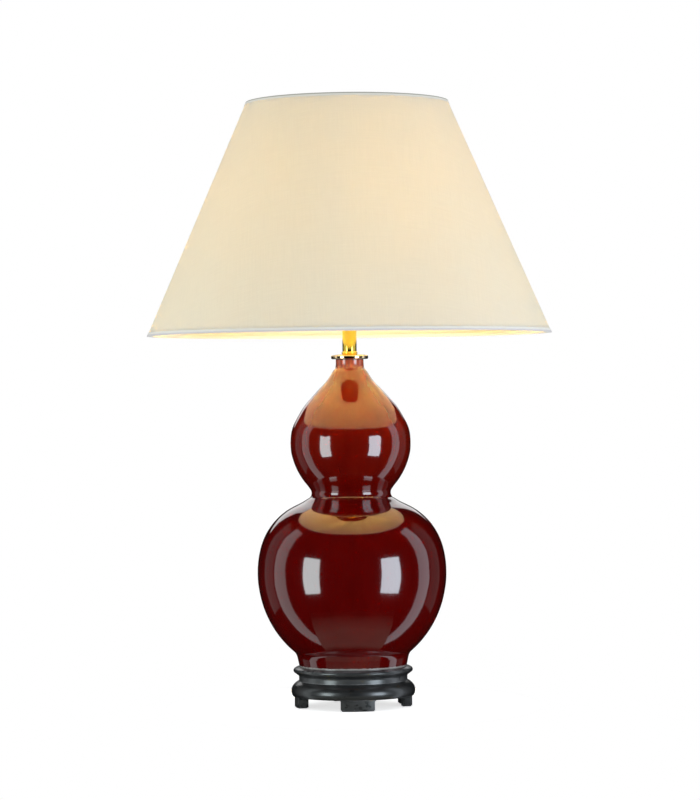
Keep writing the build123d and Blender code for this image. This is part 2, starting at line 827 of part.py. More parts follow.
def bulb_stem():
    """The glass mount that carries the leads."""
    low = stem_foot_level()
    return turned(
        (0, low), (stem_flare_radius, low), (stem_flare_radius, low + stem_flare_edge),
        (stem_post_radius, low + stem_height / 3), (stem_post_radius, low + stem_height),
        (0, low + stem_height))


def filament_level():
    return bulb_level + bulb_length - bulb_radius


def bulb_leads():
    """The two lead wires from the mount to the ends of the filament."""
    low = stem_foot_level() + stem_height + lead_radius / 2
    leads = []
    for side in (-1, 1):
        path = Line((side * lead_spread, 0, low), (side * filament_spread, 0, filament_level()))
        leads.append(wire(path, lead_radius))
    return leads


def bulb_filament():
    """The filament, bowed between the ends of the leads."""
    level = filament_level() + lead_radius + filament_radius
    path = ThreePointArc((-filament_spread, 0, level), (0, filament_bow, level), (filament_spread, 0, level))
    return wire(path, filament_radius)


# ---- Shade ----
def shade_radius(height, depth=0.0):
    """The shade's radius at a height, at a depth in from its outer face."""
    slant = (1 + shade_slope**2) ** 0.5
    return shade_bottom_radius - (height - shade_bottom) * shade_slope - depth * slant


def cone_layer(low, high, outer_depth, inner_depth):
    """A layer of the shade's wall between two heights."""
    return turned(
        (shade_radius(low, outer_depth), low), (shade_radius(high, outer_depth), high),
        (shade_radius(high, inner_depth), high), (shade_radius(low, inner_depth), low))


fabric_depth = trim_thickness + glue_gap
liner_depth = fabric_depth + fabric_thickness + glue_gap
wire_depth = liner_depth + liner_thickness + glue_gap + shade_wire_radius
trim_depth = wire_depth + shade_wire_radius + glue_gap
panel_bottom = shade_bottom + trim_thickness + glue_gap
panel_top = shade_top - trim_thickness - glue_gap


def shade_fabric():
    return cone_layer(panel_bottom, panel_top, fabric_depth, fabric_depth + fabric_thickness)


def shade_liner():
    return cone_layer(panel_bottom, panel_top, liner_depth, liner_depth + liner_thickness)


def shade_wire(height):
    """A rim wire inside the liner."""
    return wire_hoop(shade_radius(height, wire_depth), shade_wire_radius, height)


def wire_level(rim, inwards):
    """The height of a rim wire's middle, inwards being 1 above the bottom rim and -1 under the top rim."""
    return rim + inwards * (trim_thickness + glue_gap + shade_wire_radius)


def shade_trim(rim, inwards, width):
    """The tape folded over a rim and round its wire."""
    inner_edge, fold, end = trim_depth, rim + inwards * trim_thickness, rim + inwards * width
    return turned(
        (shade_radius(rim), rim), (shade_radius(end), end), (shade_radius(end, trim_thickness), end),
        (shade_radius(fold, trim_thickness), fold), (shade_radius(fold, inner_edge), fold),
        (shade_radius(end, inner_edge), end), (shade_radius(end, inner_edge + trim_thickness), end),
        (shade_radius(rim, inner_edge + trim_thickness), rim))


def spider_ring():
    """The ring that sits in the carrier's gallery."""
    return wire_hoop(spider_ring_radius, spider_wire_radius, spider_level)


def spider_strut(azimuth):
    """A wire from the shade's top wire down and in to the ring."""
    top = wire_level(shade_top, -1)
    outer = shade_radius(top, wire_depth)
    path = FilletPolyline(
        (outer, 0, top - shade_wire_radius - glue_gap),
        (outer, 0, spider_level),
        (spider_ring_radius + spider_wire_radius + glue_gap, 0, spider_level),
        radius=strut_bend)
    return around(wire(path, shade_wire_radius), azimuth)


# ---- All pieces ----
def build_pieces():
    """Every piece of the lamp by its node's name. A list holds the separate solids of one node."""
    pieces = {
        "stand_apron": stand_apron(),
        "stand_top": stand_top(),
        "stand_screws": stand_screws(),
        "vase_seat_felt": vase_seat_felt(),
        "vase": vase(),
        "threaded_rod": threaded_rod(),
        "rod_washer": rod_washer(),
        "rod_lock_washer": rod_lock_washer(),
        "rod_nut": rod_nut(),
        "rod_bush": rod_bush(),
        "neck_gasket": neck_gasket(),
        "vase_cap": vase_cap(),
        "stem_collar": stem_collar(),
        "stem_tube": stem_tube(),
        "holder_cap": holder_cap(),
        "holder_grub_screw": holder_grub_screw(),
        "holder_body": holder_body(),
        "holder_insert": holder_insert(),
        "terminal_blocks": terminal_blocks(),
        "terminal_screws": terminal_screws(),
        "centre_contact": centre_contact(),
        "screw_shell": screw_shell(),
        "holder_skirt": holder_skirt(),
        "switch_bar": switch_bar(),
        "switch_tips": switch_tips(),
        "shade_ring_lower": shade_ring(True, lower_ring_level),
        "shade_ring_upper": shade_ring(False, upper_ring_level),
        "carrier_base_ring": carrier_base_ring(),
        "carrier_top_ring": carrier_top_ring(),
        "bulb_glass": bulb_glass(),
        "bulb_cap": bulb_cap(),
        "bulb_insulator": bulb_insulator(),
        "bulb_contact": bulb_contact(),
        "bulb_stem": bulb_stem(),
        "bulb_leads": bulb_leads(),
        "bulb_filament": bulb_filament(),
        "shade_fabric": shade_fabric(),
        "shade_liner": shade_liner(),
        "shade_wire_bottom": shade_wire(wire_level(shade_bottom, 1)),
        "shade_wire_top": shade_wire(wire_level(shade_top, -1)),
        "shade_trim_bottom": shade_trim(shade_bottom, 1, trim_bottom_width),
        "shade_trim_top": shade_trim(shade_top, -1, trim_top_width),
        "spider_ring": spider_ring(),
    }
    for side, azimuth in DIRECTIONS.items():
        pieces[f"foot_{side}"] = around(foot(), azimuth)
        pieces[f"foot_pad_{side}"] = around(foot_pad(), azimuth)
    for number in range(carrier_arms):
        pieces[f"carrier_arm_{number + 1}"] = carrier_arm(carrier_arm_azimuth + number * 360 / carrier_arms)
    for number in range(strut_count):
        pieces[f"spider_strut_{number + 1}"] = spider_strut(strut_azimuth + number * 360 / strut_count)
    return pieces


os.makedirs("parts", exist_ok=True)
for name, piece in build_pieces().items():
    if isinstance(piece, list):
        piece = Compound(children=[solid for part in piece for solid in part.solids()])
    export_step(piece, f"parts/{name}.step")
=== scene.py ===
import math

import bmesh
import bpy
from mathutils import Matrix, Vector


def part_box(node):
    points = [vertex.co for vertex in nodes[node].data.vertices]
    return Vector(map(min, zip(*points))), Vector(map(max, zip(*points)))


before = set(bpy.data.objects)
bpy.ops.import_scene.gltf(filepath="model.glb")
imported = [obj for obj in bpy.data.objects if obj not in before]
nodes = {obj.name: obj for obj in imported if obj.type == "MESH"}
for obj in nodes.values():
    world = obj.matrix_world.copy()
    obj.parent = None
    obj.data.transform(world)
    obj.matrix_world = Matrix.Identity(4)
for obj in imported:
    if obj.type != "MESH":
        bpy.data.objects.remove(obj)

# The looks of a table lamp: materials for the CAD nodes, the studio round it and the camera.
# Metres, +Z up, -Y front.
scene = bpy.context.scene
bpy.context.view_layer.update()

# ---- Sizes that the materials and the studio follow ----
SHADE_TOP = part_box("shade_trim_top")[1].z
SHADE_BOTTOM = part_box("shade_trim_bottom")[0].z
SHADE_TOP_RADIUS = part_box("shade_trim_top")[1].x
SHADE_BOTTOM_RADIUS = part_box("shade_trim_bottom")[1].x
SHADE_SLOPE = (SHADE_BOTTOM_RADIUS - SHADE_TOP_RADIUS) / (SHADE_TOP - SHADE_BOTTOM)
SHADE_APEX = SHADE_TOP + SHADE_TOP_RADIUS / SHADE_SLOPE
STAND_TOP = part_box("stand_top")[1].z
NECK_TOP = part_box("vase")[1].z
WAIST_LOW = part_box("stand_apron")[1].z
WAIST_HIGH = WAIST_LOW + 0.0075
FOOT_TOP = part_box("stand_apron")[0].z
# the band of the rim's painted highlight
RIM_LOW = STAND_TOP - 0.0045
RIM_HIGH = STAND_TOP - 0.0020
LAMPLIT_GLAZE_START = 0.235  # painted warm lamplight on the upper body starts here
LAMPLIT_GLAZE_FULL = 0.375  # and is at its fullest here
# the band at the top of the neck that is painted orange-tan as painted lamplight
NECK_GLOW_BAND = (NECK_TOP - 0.014, NECK_TOP - 0.003)
BARE_CLAY = (STAND_TOP + 0.0008, STAND_TOP + 0.0002)
WORN_EDGE = 0.0016

# ---- The shade's cloth and trim ----
WEAVE_PITCH = 0.00062
SEAM_EDGE = 0.031  # half the lapped seam at the back, in radians about the axis
SEAM_EDGE_BLUR = 0.003
TAPE_THREADS_AROUND = 190.0
TAPE_THREADS_UP = 1150.0
TAPE_SHADE_HEIGHT = 0.0024  # how far up the outer face the lower tape carries painted shade
TAPE_TURNED_HIGH = 0.0016  # how far down the upper tape is dark
TAPE_SKIN = 0.0014  # the depth from the outer face that still counts as outside

# ---- The shade's light, the bulb and the tube ----
CLOTH = (0.84, 0.84, 0.90)
CLOTH_GLOW = (0.98, 0.93, 0.65)
CLOTH_SHARE = 0.52  # of the cloth's light that comes from behind
LINER_SHARE = 0.5
BULB_STRENGTH = 88.0
BULB_COLOUR = (1.0, 0.62, 0.11)
BULB_EDGE_COLOUR = (1.0, 0.62 * 0.97, 0.11 * 0.92)
BULB_FADE = 0.045  # the height over which the bulb dims, from its middle
FILAMENT_STRENGTH = 60.0
TUBE_FLARE = 0.028

# ---- Camera: level, a little to the left of the front ----
CAMERA_AZIMUTH = -4.7
CAMERA_DISTANCE = 3.40
CAMERA_HEIGHT = 0.355
CAMERA_ROLL = -0.65
CAMERA_LENS = 135.4
CAMERA_SHIFT = -0.0104

# ---- Studio: the floor, the lights, and the dark panels and the dim table that only mirrors see ----
AMBIENT = 0.60
FLOOR_RADIUS = 0.21
FLOOR_GLOW = 0.70
FLAG_RADIUS = 2.0
FLAG_LOW = -2.6
FLAG_HIGH = 3.0
FLAG_GAP = 24  # degrees either side of straight behind the lamp, where the dark wall is lower
FLAG_BACK_TOP = 0.60
TABLE_LEVEL = -0.0005
TABLE_INNER = 0.04
TABLE_RADIUS = 0.24
TABLE_SWEEP = 50  # degrees either side of the camera's azimuth
TABLE_SHADOW_RADII = (0.070, 0.085)  # radii over which the table goes from a painted black shadow round the stand to dim
TABLE_FADE = (0.15, 0.23)  # radii over which it goes back to black
SOFTBOX_DISTANCE = 1.30
SIDE_DISTANCE = 1.15
# name, azimuth from the camera, distance, bottom, top, width, radiance, colour
PANELS = (
    ("softbox_left", -49, SOFTBOX_DISTANCE, -0.32, 0.54, 0.48, 5.4, (0.86, 1.0, 1.02)),
    ("softbox_right", 46.7, SOFTBOX_DISTANCE, -0.32, 0.54, 0.55, 5.9, (0.86, 1.0, 1.12)),
    ("side_left", -95, SIDE_DISTANCE, -2.2, 1.3, 0.40, 0.75, (0.92, 1.0, 1.02)),
    ("side_right", 95, SIDE_DISTANCE, -2.2, 1.3, 0.40, 0.90, (0.92, 1.0, 1.10)),
    ("rear_left", -119, SOFTBOX_DISTANCE, -0.4, 1.2, 0.50, 0.12, (1.0, 1.0, 1.0)),
    ("rear_right", 119, SOFTBOX_DISTANCE, -0.4, 1.2, 0.50, 0.08, (1.0, 1.0, 1.0)),
)


def compass(azimuth, distance, height):
    """A point round the lamp. Azimuth 0 is the front, 90 is the right."""
    a = math.radians(azimuth)
    return Vector((math.sin(a) * distance, -math.cos(a) * distance, height))


def make_camera():
    data = bpy.data.cameras.new("camera")
    data.lens = CAMERA_LENS
    data.sensor_width = 36.0
    data.shift_y = CAMERA_SHIFT
    data.clip_start, data.clip_end = 0.1, 50.0
    camera = bpy.data.objects.new("camera", data)
    scene.collection.objects.link(camera)
    turn = Matrix.Rotation(math.radians(CAMERA_AZIMUTH), 4, "Z")
    level = Matrix.Rotation(math.radians(90), 4, "X")
    roll = Matrix.Rotation(math.radians(CAMERA_ROLL), 4, "Z")
    place = Matrix.Translation(compass(CAMERA_AZIMUTH, CAMERA_DISTANCE, CAMERA_HEIGHT))
    camera.matrix_world = place @ turn @ level @ roll
    scene.camera = camera


# ---- Short calls for node trees ----
class Paint:
    """A material and short calls that add nodes to it."""

    def __init__(self, name, **sockets):
        self.material = bpy.data.materials.new(name)
        self.material.use_nodes = True
        self.tree = self.material.node_tree
        self.shader = self.tree.nodes["Principled BSDF"]
        self.output = self.tree.nodes["Material Output"]
        for socket, value in sockets.items():
            self.shader.inputs[socket.replace("_", " ")].default_value = value
        self.place = self.add("ShaderNodeTexCoord").outputs["Object"]

    def add(self, kind, **settings):
        node = self.tree.nodes.new(kind)
        for setting, value in settings.items():
            setattr(node, setting, value)
        return node

    def feed(self, socket, value):
        if hasattr(value, "is_output"):
            self.tree.links.new(value, socket)
        else:
            socket.default_value = value

    def math(self, operation, *values, clamp=False):
        node = self.add("ShaderNodeMath", operation=operation, use_clamp=clamp)
        for socket, value in zip(node.inputs, values):
            self.feed(socket, value)
        return node.outputs[0]

    def vector_math(self, operation, *values):
        node = self.add("ShaderNodeVectorMath", operation=operation)
        for socket, value in zip(node.inputs, values):
            self.feed(socket, value)
        return node.outputs["Value" if operation in ("LENGTH", "DOT_PRODUCT") else "Vector"]

    def split(self, vector):
        node = self.add("ShaderNodeSeparateXYZ")
        self.feed(node.inputs[0], vector)
        return node.outputs["X"], node.outputs["Y"], node.outputs["Z"]

    def join(self, x, y, z):
        node = self.add("ShaderNodeCombineXYZ")
        for socket, value in zip(node.inputs, (x, y, z)):
            self.feed(socket, value)
        return node.outputs[0]

    def stretched(self, x, y, z):
        """The object's coordinates times these factors."""
        return self.vector_math("MULTIPLY", self.place, (x, y, z))

    def noise(self, scale, detail=3.0, roughness=0.5, vector=None, distortion=0.0):
        node = self.add("ShaderNodeTexNoise")
        self.feed(node.inputs["Vector"], self.place if vector is None else vector)
        node.inputs["Scale"].default_value = scale
        node.inputs["Detail"].default_value = detail
        node.inputs["Roughness"].default_value = roughness
        node.inputs["Distortion"].default_value = distortion
        return node.outputs["Fac"]

    def cells(self, scale):
        node = self.add("ShaderNodeTexVoronoi")
        self.feed(node.inputs["Vector"], self.place)
        node.inputs["Scale"].default_value = scale
        return node.outputs["Distance"]

    def ramp(self, factor, *stops):
        """A ramp of (place, value) stops, where a value is a grey or a colour."""
        node = self.add("ShaderNodeValToRGB")
        self.feed(node.inputs["Fac"], factor)
        elements = node.color_ramp.elements
        while len(elements) < len(stops):
            elements.new(0.5)
        for element, (position, value) in zip(elements, stops):
            element.position = position
            element.color = (value,) * 3 + (1,) if isinstance(value, (int, float)) else (*value[:3], 1)
        return node.outputs["Color"]

    def range(self, value, low, high, to_low=0.0, to_high=1.0):
        node = self.add("ShaderNodeMapRange")
        for socket, v in zip(node.inputs, (value, low, high, to_low, to_high)):
            self.feed(socket, v)
        return node.outputs["Result"]

    def mix(self, factor, first, second):
        node = self.add("ShaderNodeMix", data_type="RGBA")
        self.feed(node.inputs["Factor"], factor)
        self.feed(node.inputs[6], (*first, 1) if isinstance(first, tuple) else first)
        self.feed(node.inputs[7], (*second, 1) if isinstance(second, tuple) else second)
        return node.outputs[2]

    def bump(self, height, distance, strength=1.0, under=None):
        node = self.add("ShaderNodeBump")
        node.inputs["Strength"].default_value = strength
        node.inputs["Distance"].default_value = distance
        self.feed(node.inputs["Height"], height)
        if under is not None:
            self.feed(node.inputs["Normal"], under)
        return node.outputs["Normal"]

    def edges(self, radius, samples=8):
        """1 on sharp convex and concave edges, 0 on open faces."""
        bevel = self.add("ShaderNodeBevel", samples=samples)
        bevel.inputs["Radius"].default_value = radius
        normal = self.add("ShaderNodeNewGeometry").outputs["Normal"]
        likeness = self.vector_math("DOT_PRODUCT", bevel.outputs["Normal"], normal)
        return self.range(likeness, 0.995, 0.93)

    def set(self, **values):
        for socket, value in values.items():
            self.feed(self.shader.inputs[socket.replace("_", " ")], value)

    def height(self):
        return self.split(self.place)[2]

    def from_axis(self):
        """The distance from the lamp's axis."""
        x, y, _ = self.split(self.place)
        return self.math("SQRT", self.math("ADD", self.math("POWER", x, 2.0), self.math("POWER", y, 2.0)))

    def around(self):
        """The angle about the lamp's axis, in radians, 0 at the front."""
        x, y, _ = self.split(self.place)
        return self.math("ARCTAN2", x, self.math("MULTIPLY", y, -1.0))


def dress(material, *names):
    for name in names:
        for place in nodes[name].material_slots:
            place.material = material


# ---- Materials ----
def glaze():
    """Deep oxblood glaze: glossy, slightly uneven, with painted warm lamplight making it lighter and more
    orange towards the neck, and a painted glow at the neck.
    """
    p = Paint("oxblood_glaze", Roughness=0.12, IOR=1.5, Coat_Weight=1.0, Coat_Roughness=0.012, Coat_IOR=1.55)
    z = p.height()
    cloud = p.noise(9.0, 4.0, 0.55)
    streak = p.noise(55.0, 3.0, 0.6, p.stretched(1.0, 1.0, 0.16))
    fleck = p.noise(420.0, 2.0, 0.6, p.stretched(1.0, 1.0, 0.45))
    tone = p.math("ADD", p.math("MULTIPLY", cloud, 0.55), p.math("MULTIPLY", streak, 0.45))
    deep = p.ramp(tone, (0.30, (0.060, 0.0003, 0.0002)), (0.50, (0.077, 0.0004, 0.0003)),
                  (0.72, (0.098, 0.0009, 0.0004)))
    # Painted warm lamplight from above: a lighter, more orange copy of the glaze for the upper body.
    lamplit_tone = p.ramp(tone, (0.30, (0.135, 0.0034, 0.0003)), (0.50, (0.170, 0.0058, 0.0004)),
                  (0.72, (0.210, 0.0100, 0.0006)))
    height = p.math("ADD", z, p.math("MULTIPLY", streak, 0.02))
    body = p.mix(p.range(height, LAMPLIT_GLAZE_START, LAMPLIT_GLAZE_FULL), deep, lamplit_tone)
    speck = p.range(fleck, 0.60, 0.74, 0.0, 0.30)
    body = p.mix(speck, body, (0.125, 0.0040, 0.0012))
    # Painted glow: the top of the neck is painted orange-tan where the lit shade lights and mirrors in it.
    neck_glow = p.range(z, *NECK_GLOW_BAND)
    body = p.mix(p.math("MULTIPLY", neck_glow, 0.85), body, (0.40, 0.085, 0.042))
    ragged = p.math("ADD", z, p.math("MULTIPLY", p.noise(260.0, 3.0), -0.0022))
    clay = p.range(ragged, *BARE_CLAY)
    p.set(Base_Color=p.mix(clay, body, (0.27, 0.255, 0.24)))
    p.set(Roughness=p.math("ADD", p.math("MULTIPLY", cloud, 0.08), 0.07))
    wave = p.bump(p.noise(16.0, 2.0, 0.4), 0.0011, 0.5)
    p.set(Normal=p.bump(fleck, 0.00002, 0.25, wave), Coat_Normal=wave)
    return p.material


def lacquer():
    """Black lacquered wood: satin, with fine grain, brownish patches, scuffed feet and edges rubbed to silver;
    the waist band and feet carry a painted sheen in lighter grey, partly dust, and the rim a painted
    highlight.
    """
    p = Paint("black_lacquer", Specular_IOR_Level=0.5, Coat_Weight=1.0, Coat_IOR=1.6, Coat_Roughness=0.24)
    z = p.height()
    grain = p.noise(26.0, 5.0, 0.62, p.stretched(1.0, 7.0, 22.0), 0.6)
    patch = p.noise(38.0, 5.0, 0.65)
    spots = p.noise(150.0, 4.0, 0.6)
    base = p.ramp(grain, (0.30, (0.008, 0.0082, 0.0086)), (0.70, (0.019, 0.0188, 0.019)))
    base = p.mix(p.range(patch, 0.52, 0.72, 0.0, 0.4), base, (0.026, 0.019, 0.017))
    # Painted sheen, partly dust: the waist band and the feet are painted a lighter grey.
    waist = p.math("MULTIPLY", p.range(z, WAIST_LOW, WAIST_LOW + 0.001),
                   p.range(z, WAIST_HIGH, WAIST_HIGH - 0.002))
    sheen_and_dust = p.math("MAXIMUM", waist, p.range(z, FOOT_TOP + 0.001, FOOT_TOP - 0.001))
    base = p.mix(p.math("MULTIPLY", sheen_and_dust, p.range(patch, 0.3, 0.6, 0.4, 1.0)), base, (0.044, 0.044, 0.045))
    # Painted highlight: a silver band along the rim's outer edge. The sharp edges found by the bevel are real
    # wear, in the same silver.
    rim = p.math("MULTIPLY", p.range(z, RIM_LOW, RIM_HIGH), p.range(grain, 0.38, 0.62, 0.0, 0.55))
    rubbed_and_highlit = p.math("MAXIMUM", p.math("MULTIPLY", p.edges(WORN_EDGE), p.range(patch, 0.35, 0.62)), rim)
    base = p.mix(p.math("MULTIPLY", rubbed_and_highlit, 0.85), base, (0.20, 0.20, 0.205))
    scuffs = p.math("MULTIPLY", p.range(p.noise(120.0, 4.0, 0.6), 0.52, 0.56),
                    p.range(z, FOOT_TOP, FOOT_TOP - 0.003))
    marks = p.math("MAXIMUM", p.range(spots, 0.63, 0.68), scuffs)
    p.set(Base_Color=p.mix(marks, base, (0.002, 0.002, 0.002)))
    p.set(Roughness=p.range(patch, 0.3, 0.7, 0.34, 0.50))
    p.set(Normal=p.bump(grain, 0.00035, 0.35, p.bump(patch, 0.0008, 0.35)))
    return p.material


def brass(name, dark, light, flare=0.0):
    """Polished brass with fine turning marks. Flare makes an upright face look up a little."""
    p = Paint(name, Metallic=1.0)
    bloom = p.noise(60.0, 4.0, 0.6)
    marks = p.noise(900.0, 2.0, 0.5, p.stretched(0.15, 0.15, 3.0))
    p.set(Base_Color=p.mix(p.range(bloom, 0.35, 0.75), light, dark))
    p.set(Roughness=p.math("ADD", p.range(bloom, 0.3, 0.8, 0.02, 0.06), p.math("MULTIPLY", marks, 0.02)))
    lean = p.bump(p.math("MULTIPLY", p.height(), -flare), 1.0)
    p.set(Normal=p.bump(marks, 0.00002, 0.15, lean))
    return p.material


def steel():
    """Zinc-plated steel: dull, with a fine spangle."""
    p = Paint("steel", Metallic=1.0)
    spangle = p.cells(700.0)
    patch = p.noise(120.0, 4.0, 0.6)
    p.set(Base_Color=p.mix(patch, (0.55, 0.56, 0.56), (0.72, 0.71, 0.67)))
    p.set(Roughness=p.math("ADD", p.range(patch, 0.3, 0.7, 0.24, 0.4), p.math("MULTIPLY", spangle, 0.1)))
    p.set(Normal=p.bump(spangle, 0.00004, 0.3))
    return p.material


def felt():
    """Black wool felt."""
    p = Paint("felt", Roughness=0.95, Sheen_Weight=0.5, Sheen_Roughness=0.5, Specular_IOR_Level=0.2)
    hair = p.noise(1400.0, 4.0, 0.75, distortion=2.0)
    p.set(Base_Color=p.ramp(hair, (0.35, 0.008), (0.7, 0.05)))
    p.set(Normal=p.bump(hair, 0.0005, 0.8))
    return p.material


def cloth_coordinates(p):
    """Places on the cloth before it was rolled up, in metres: a cone's wall unrolls to part of a flat ring."""
    x, y, z = p.split(p.place)
    down = p.math("SUBTRACT", SHADE_APEX, z)
    across = p.math("ADD", p.math("POWER", x, 2.0), p.math("POWER", y, 2.0))
    reach = p.math("SQRT", p.math("ADD", across, p.math("POWER", down, 2.0)))
    share = SHADE_SLOPE / math.sqrt(1 + SHADE_SLOPE**2)
    angle = p.math("MULTIPLY", p.around(), share)
    sine, cosine = p.math("SINE", angle), p.math("COSINE", angle)
    return p.math("MULTIPLY", reach, sine), p.math("MULTIPLY", reach, cosine)


def weave(p, pitch):
    """The height of a plain weave of this pitch, and an unevenness that runs along the threads."""
    across, along = cloth_coordinates(p)
    turn = 2 * math.pi / pitch
    warp = p.math("SINE", p.math("MULTIPLY", across, turn))
    weft = p.math("SINE", p.math("MULTIPLY", along, turn))
    crossing = p.math("MULTIPLY", warp, weft)
    fine, coarse = 900.0, 26.0

    def thread_noise(scale_across, scale_along, offset):
        place = p.join(p.math("MULTIPLY", across, scale_across),
                       p.math("MULTIPLY", along, scale_along), offset)
        return p.noise(1.0, 3.0, 0.6, place)

    threads = p.math("MULTIPLY", p.math("ADD", thread_noise(fine, coarse, 0.0),
                                        thread_noise(coarse, fine, 3.0)), 0.5)
    return p.math("ADD", p.math("MULTIPLY", crossing, 0.5), threads), threads


def see_through(p, colour, amount):
    """Lets light through the cloth: part of it comes from behind."""
    glow = p.add("ShaderNodeBsdfTranslucent")
    p.feed(glow.inputs["Color"], (*colour, 1) if isinstance(colour, tuple) else colour)
    both = p.add("ShaderNodeMixShader")
    both.inputs["Fac"].default_value = amount
    p.tree.links.new(p.shader.outputs[0], both.inputs[1])
    p.tree.links.new(glow.outputs[0], both.inputs[2])
    p.tree.links.new(both.outputs[0], p.output.inputs["Surface"])


def shade_cloth():
    """Cream cotton, bonded to its liner, with one lapped seam at the back."""
    p = Paint("shade_fabric", Roughness=0.85, Sheen_Weight=0.15, Sheen_Roughness=0.4, Specular_IOR_Level=0.25)
    height, threads = weave(p, WEAVE_PITCH)
    away = p.math("SUBTRACT", math.pi, p.math("ABSOLUTE", p.around()))
    seam = p.range(away, SEAM_EDGE - 0.001, SEAM_EDGE - 0.009)
    edge = p.math("MULTIPLY", p.range(away, SEAM_EDGE + SEAM_EDGE_BLUR, SEAM_EDGE),
                  p.range(away, SEAM_EDGE - SEAM_EDGE_BLUR, SEAM_EDGE), clamp=True)
    lightness = p.range(threads, 0.40, 0.62)
    tone = p.mix(lightness, tuple(c * 0.97 for c in CLOTH), CLOTH)
    tone = p.mix(p.math("MULTIPLY", seam, 0.35), tone, (0.72, 0.65, 0.54))
    p.set(Base_Color=p.mix(p.math("MULTIPLY", edge, 0.5), tone, (0.55, 0.48, 0.38)))
    p.set(Normal=p.bump(height, 0.00006, 0.3, p.bump(seam, 0.0004, 0.6)))
    see_through(p, p.mix(lightness, tuple(c * 0.96 for c in CLOTH_GLOW), CLOTH_GLOW), CLOTH_SHARE)
    return p.material


def shade_lining():
    """White styrene sheet, very faintly uneven."""
    p = Paint("shade_liner", Specular_IOR_Level=0.2)
    cloud = p.noise(24.0, 4.0, 0.55)
    p.set(Base_Color=p.mix(cloud, (0.91, 0.90, 0.88), (0.94, 0.93, 0.91)))
    p.set(Roughness=p.range(cloud, 0.3, 0.7, 0.5, 0.65), Normal=p.bump(p.noise(240.0, 3.0), 0.00002, 0.2))
    see_through(p, p.mix(cloud, (0.95, 0.91, 0.84), (0.98, 0.95, 0.89)), LINER_SHARE)
    return p.material


def trim_tape():
    """Cream bias tape, woven on the slant, with painted shade in grey on its outer face along the bottom edge,
    and dark at the top.
    """
    p = Paint("trim_tape", Roughness=0.8, Sheen_Weight=0.2, Specular_IOR_Level=0.25)
    z = p.height()
    turn = p.math("MULTIPLY", p.around(), TAPE_THREADS_AROUND)
    climb = p.math("MULTIPLY", z, TAPE_THREADS_UP)
    first = p.math("SINE", p.math("ADD", turn, climb))
    second = p.math("SINE", p.math("SUBTRACT", turn, climb))
    tape = p.mix(p.noise(90.0, 4.0, 0.6), (0.76, 0.73, 0.66), (0.81, 0.78, 0.71))
    # Painted shade: the outer face of the lower tape is painted grey along the bottom edge.
    rise = p.math("SUBTRACT", z, SHADE_BOTTOM)
    on_slope = p.math("ADD", p.from_axis(), p.math("MULTIPLY", rise, SHADE_SLOPE))
    outside = p.range(p.math("SUBTRACT", SHADE_BOTTOM_RADIUS, on_slope), TAPE_SKIN, TAPE_SKIN - 0.0006)
    low = p.math("MULTIPLY", p.range(rise, TAPE_SHADE_HEIGHT, TAPE_SHADE_HEIGHT - 0.001), outside)
    high = p.range(z, SHADE_TOP - TAPE_TURNED_HIGH, SHADE_TOP - TAPE_TURNED_HIGH + 0.001)
    tape = p.mix(low, tape, (0.60, 0.565, 0.57))
    p.set(Base_Color=p.mix(high, tape, (0.33, 0.32, 0.27)))
    p.set(Normal=p.bump(p.math("MULTIPLY", first, second), 0.00008, 0.4))
    return p.material


def coated_wire():
    """White powder-coated steel wire."""
    p = Paint("white_wire", Roughness=0.45)
    skin = p.noise(900.0, 3.0, 0.6)
    p.set(Base_Color=p.mix(p.noise(70.0), (0.78, 0.775, 0.75), (0.86, 0.855, 0.83)))
    p.set(Roughness=p.range(skin, 0.3, 0.7, 0.38, 0.52), Normal=p.bump(skin, 0.00006, 0.4))
    return p.material


def porcelain():
    """Unglazed porcelain, a little dusty."""
    p = Paint("porcelain", Subsurface_Weight=0.15, Subsurface_Radius=(0.002, 0.0015, 0.001))
    dust = p.noise(300.0, 4.0, 0.6)
    p.set(Base_Color=p.mix(dust, (0.80, 0.78, 0.72), (0.88, 0.86, 0.81)))
    p.set(Roughness=p.range(dust, 0.3, 0.7, 0.3, 0.5), Normal=p.bump(dust, 0.00008, 0.3))
    return p.material


def moulded(name, dark, light, low, high):
    """Moulded plastic, rubber or glass of one colour with a fine skin, its roughness from low to high."""
    p = Paint(name)
    skin, cloud = p.noise(800.0, 3.0, 0.6), p.noise(90.0, 3.0)
    p.set(Base_Color=p.mix(cloud, dark, light), Roughness=p.range(cloud, 0.3, 0.7, low, high))
    p.set(Normal=p.bump(skin, 0.00006, 0.35))
    return p.material


def bakelite():
    """Dark phenolic with faint swirls under a polish."""
    p = Paint("bakelite", Coat_Weight=0.6, Coat_Roughness=0.08)
    swirl = p.noise(190.0, 5.0, 0.6, distortion=2.5)
    p.set(Base_Color=p.ramp(swirl, (0.35, (0.010, 0.005, 0.003)), (0.68, (0.055, 0.024, 0.012))))
    p.set(Roughness=p.range(swirl, 0.3, 0.7, 0.12, 0.24), Normal=p.bump(swirl, 0.00005, 0.2))
    return p.material


def drawn_metal(name, dark, light, low, high):
    """Drawn metal with fine marks around it, its roughness from low to high."""
    p = Paint(name, Metallic=1.0)
    marks = p.noise(700.0, 3.0, 0.6, p.stretched(0.2, 0.2, 2.5))
    p.set(Base_Color=p.mix(marks, dark, light), Roughness=p.range(marks, 0.3, 0.7, low, high))
    p.set(Normal=p.bump(marks, 0.00005, 0.35))
    return p.material


